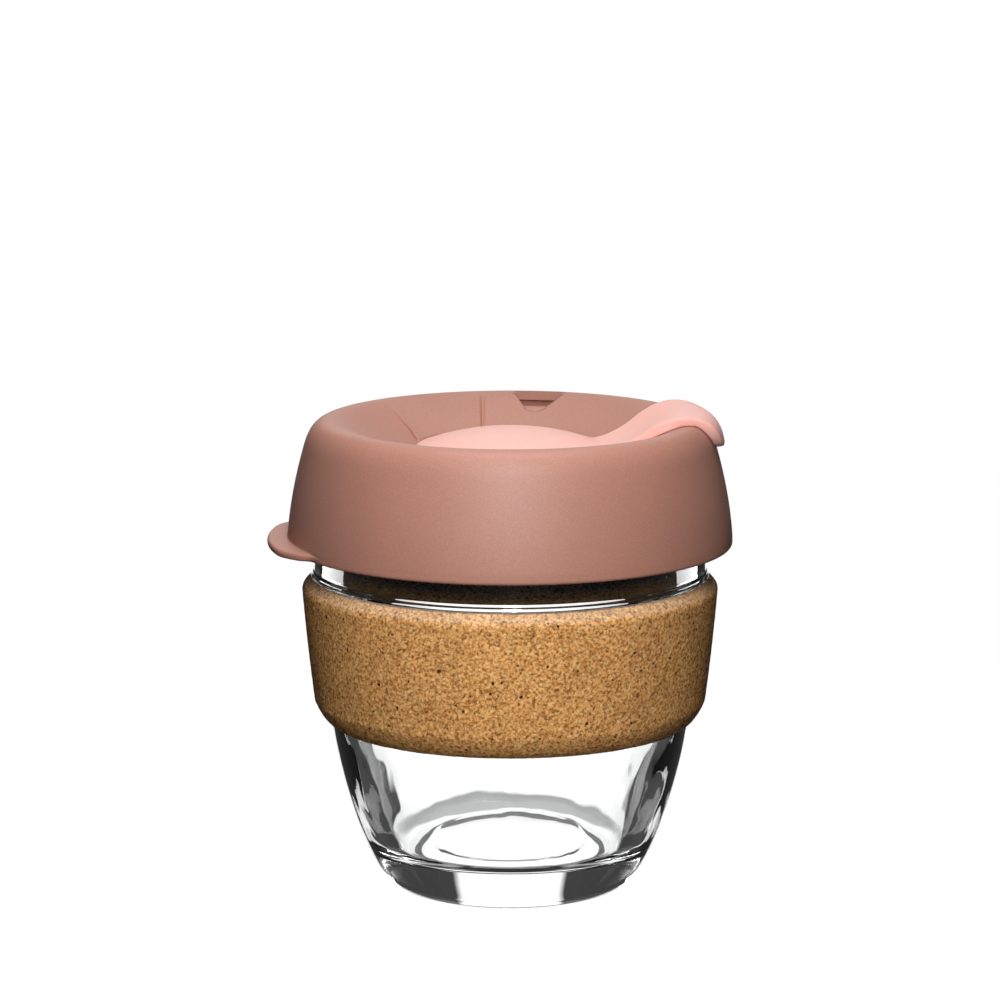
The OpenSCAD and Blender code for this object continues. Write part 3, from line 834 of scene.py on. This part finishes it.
# Panel behind the cup: sine of the sideways angle and brightness there, with a weaker panel at each side
PANEL = ((0.0, 1.0), (0.24, 1.0), (0.28, 0.03), (0.74, 0.02), (0.79, 0.4), (0.85, 0.4), (0.89, 0.03))
FLOOR_PANEL = ((0.0, 1.0), (0.24, 1.0), (0.27, 0.03), (1.0, 0.015))
# How the panel fades downwards: sine of the downward angle and the share of its brightness left there
STEEP = ((0.0, 1.0), (0.4, 1.0), (0.48, 0.35), (0.7, 0.35), (0.76, 0.0))
# Dim even glow that matte surfaces get from around, from the floor and through the glass
AMBIENT = 0.015
FLOOR_BOUNCE = 0.01
THROUGH_GLASS = 0.5


def build_camera():
    camera_data = bpy.data.cameras.new("camera")
    camera_data.sensor_width = 36
    camera_data.lens = LENS
    camera = bpy.data.objects.new("camera", camera_data)
    bpy.context.scene.collection.objects.link(camera)
    camera.location = (AIM_X, -DISTANCE * math.cos(PITCH), AIM_Z + DISTANCE * math.sin(PITCH))
    camera.rotation_euler = (math.pi / 2 - PITCH, 0, 0)
    camera_data.clip_start = 0.01
    camera_data.clip_end = 20
    bpy.context.scene.camera = camera
    return camera


def build_rig(camera):
    """Stands at the middle of the cup and turns with the camera, so every view is lit alike."""
    rig = bpy.data.objects.new("light_rig", None)
    bpy.context.scene.collection.objects.link(rig)
    rig.location = (0, 0, RIM_Z / 2 * MM)
    follow = rig.constraints.new("COPY_ROTATION")
    follow.target = camera
    return rig


def build_level_rig(camera):
    """Turns with the camera as well, but stays upright."""
    rig = bpy.data.objects.new("level_rig", None)
    bpy.context.scene.collection.objects.link(rig)
    follow = rig.constraints.new("COPY_ROTATION")
    follow.target = camera
    follow.use_x = False
    follow.use_y = False
    return rig


def add_area(name, rig, azimuth, elevation, distance, size, watts, colour=(1, 1, 1), aim=(0, 0, 0)):
    """Rectangular softbox aimed at the cup; angles in degrees are measured from the camera's axis."""
    data = bpy.data.lights.new(name, "AREA")
    data.shape = "RECTANGLE"
    data.size, data.size_y = size
    data.energy = watts
    data.color = colour
    lamp = bpy.data.objects.new(name, data)
    bpy.context.scene.collection.objects.link(lamp)
    a, e = math.radians(azimuth), math.radians(elevation)
    place = Vector((math.sin(a) * math.cos(e), math.sin(e), math.cos(a) * math.cos(e))) * distance
    lamp.parent = rig
    lamp.location = place
    lamp.rotation_mode = "QUATERNION"
    lamp.rotation_quaternion = (Vector(aim) - place).to_track_quat("-Z", "Y")
    return lamp


def add_card(name, rig, azimuth, height, distance, size, level):
    """Upright glowing card; its direction in degrees is measured from the camera's side."""
    half_w, half_h = size[0] / 2, size[1] / 2
    mesh = bpy.data.meshes.new(name)
    mesh.from_pydata([(-half_w, -half_h, 0), (half_w, -half_h, 0), (half_w, half_h, 0),
                      (-half_w, half_h, 0)], [], [(0, 1, 2, 3)])
    card = bpy.data.objects.new(name, mesh)
    bpy.context.scene.collection.objects.link(card)
    material, tree, out = new_material(name)
    glow = node(tree, "ShaderNodeEmission", Color=(1, 1, 1, 1), Strength=level)
    tree.links.new(glow.outputs["Emission"], out.inputs["Surface"])
    mesh.materials.append(material)
    a = math.radians(azimuth)
    card.parent = rig
    card.location = (math.sin(a) * distance, -math.cos(a) * distance, height)
    card.rotation_euler = (math.pi / 2, 0, a)
    card.visible_camera = False
    card.visible_diffuse = False
    card.visible_shadow = False
    return card


def panel_level(tree, direction, stops, scale, base):
    """Brightness behind the cup in a world direction: a ramp over how far it points sideways,
    dark where it points steeply down or back towards the camera."""
    links = tree.links

    to_camera = tree.nodes.new("ShaderNodeVectorTransform")
    to_camera.vector_type = "VECTOR"
    to_camera.convert_from = "WORLD"
    to_camera.convert_to = "CAMERA"
    links.new(direction, to_camera.inputs["Vector"])
    unit = tree.nodes.new("ShaderNodeVectorMath")
    unit.operation = "NORMALIZE"
    links.new(to_camera.outputs["Vector"], unit.inputs[0])
    split = tree.nodes.new("ShaderNodeSeparateXYZ")
    links.new(unit.outputs["Vector"], split.inputs["Vector"])
    across = ramp(tree, maths(tree, "ABSOLUTE", split.outputs["X"]), [(at, (v, v, v)) for at, v in stops])
    down = ramp(tree, maths(tree, "MULTIPLY", split.outputs["Y"], -1.0), [(at, (v, v, v)) for at, v in STEEP])
    ahead = maths(tree, "GREATER_THAN", split.outputs["Z"], 0.0)
    seen = maths(tree, "MULTIPLY", maths(tree, "MULTIPLY", across, down), ahead)
    return maths(tree, "ADD", maths(tree, "MULTIPLY", seen, scale), base)


def studio_level(tree, panel, outside, seen_level):
    """What a ray sees: the plain backdrop from the camera, the panel through glass or in a sheen,
    and a dim glow from a matte surface, stronger where that glow comes in through the glass."""
    path = tree.nodes.new("ShaderNodeLightPath")

    def choose(factor, a, b):
        made = tree.nodes.new("ShaderNodeMix")
        for key, value in (("Factor", factor), ("A", a), ("B", b)):
            feed(tree, value, made.inputs[key])
        return made.outputs["Result"]

    through_glass = maths(tree, "GREATER_THAN", path.outputs["Transmission Depth"], 0.5)
    from_matte = maths(tree, "GREATER_THAN", path.outputs["Diffuse Depth"], 0.5)
    glow = choose(through_glass, outside, THROUGH_GLASS)
    return choose(path.outputs["Is Camera Ray"], choose(from_matte, panel, glow), seen_level)


def build_world():
    """White behind the cup, dark to its sides, and a dim even glow for matte surfaces."""
    world = bpy.data.worlds.new("studio")
    bpy.context.scene.world = world
    world.use_nodes = True
    tree = world.node_tree
    tree.nodes.clear()
    links = tree.links
    out = tree.nodes.new("ShaderNodeOutputWorld")
    place = tree.nodes.new("ShaderNodeTexCoord")
    panel = panel_level(tree, place.outputs["Generated"], PANEL, 1.3, 0.02)
    level = studio_level(tree, panel, AMBIENT, 1.0)
    back = node(tree, "ShaderNodeBackground", Color=(1, 1, 1, 1))
    links.new(level, back.inputs["Strength"])
    links.new(back.outputs["Background"], out.inputs["Surface"])


def build_floor():
    """Plain pale floor that glows white below and behind the cup."""
    mesh = bpy.data.meshes.new("floor")
    half = 6.0
    mesh.from_pydata([(-half, -half, 0), (half, -half, 0), (half, half, 0), (-half, half, 0)],
                     [], [(0, 1, 2, 3)])
    floor = bpy.data.objects.new("floor", mesh)
    floor.location.z = -0.2 * MM
    bpy.context.scene.collection.objects.link(floor)
    material, tree, out = new_material("floor")
    links = tree.links
    geometry = tree.nodes.new("ShaderNodeNewGeometry")
    away = tree.nodes.new("ShaderNodeVectorMath")
    away.operation = "SCALE"
    away.inputs["Scale"].default_value = -1.0
    links.new(geometry.outputs["Incoming"], away.inputs[0])
    panel = panel_level(tree, away.outputs["Vector"], FLOOR_PANEL, 1.25, 0.01)
    level = studio_level(tree, panel, FLOOR_BOUNCE, 1.0)
    glow = node(tree, "ShaderNodeEmission", Color=(1, 1, 1, 1))
    links.new(level, glow.inputs["Strength"])
    matte = node(tree, "ShaderNodeBsdfDiffuse", Color=(0.05, 0.05, 0.05, 1))
    both = tree.nodes.new("ShaderNodeAddShader")
    links.new(glow.outputs["Emission"], both.inputs[0])
    links.new(matte.outputs["BSDF"], both.inputs[1])
    links.new(both.outputs["Shader"], out.inputs["Surface"])
    mesh.materials.append(material)
    return floor


def build_studio(glass):
    camera = build_camera()
    rig = build_rig(camera)
    level_rig = build_level_rig(camera)
    lit_by_cards = bpy.data.collections.new("lit_by_cards")
    lit_by_cards.objects.link(glass)
    add_area("key_box", rig, 0, 22, 0.36, (0.06, 0.2), 0.96, aim=(0, 0.02, 0))
    add_area("top_box", rig, 0, 76, 0.36, (0.16, 0.12), 0.5, aim=(0, 0.04, 0))
    for side in (-1, 1):
        card = add_card(f"rim_card_{side + 1}", level_rig, 122 * side, 0.017, 0.32, (0.16, 0.032), 6.5)
        card.light_linking.receiver_collection = lit_by_cards
    build_world()
    build_floor()
    scene = bpy.context.scene
    scene.view_settings.view_transform = "Standard"
    scene.view_settings.look = "None"
    scene.cycles.max_bounces = 24
    scene.cycles.transmission_bounces = 20
    scene.cycles.transparent_max_bounces = 16
    scene.cycles.caustics_refractive = False
    scene.cycles.caustics_reflective = False


glass = build_glass()
build_band()
build_lid()
build_plug()
build_studio(glass)
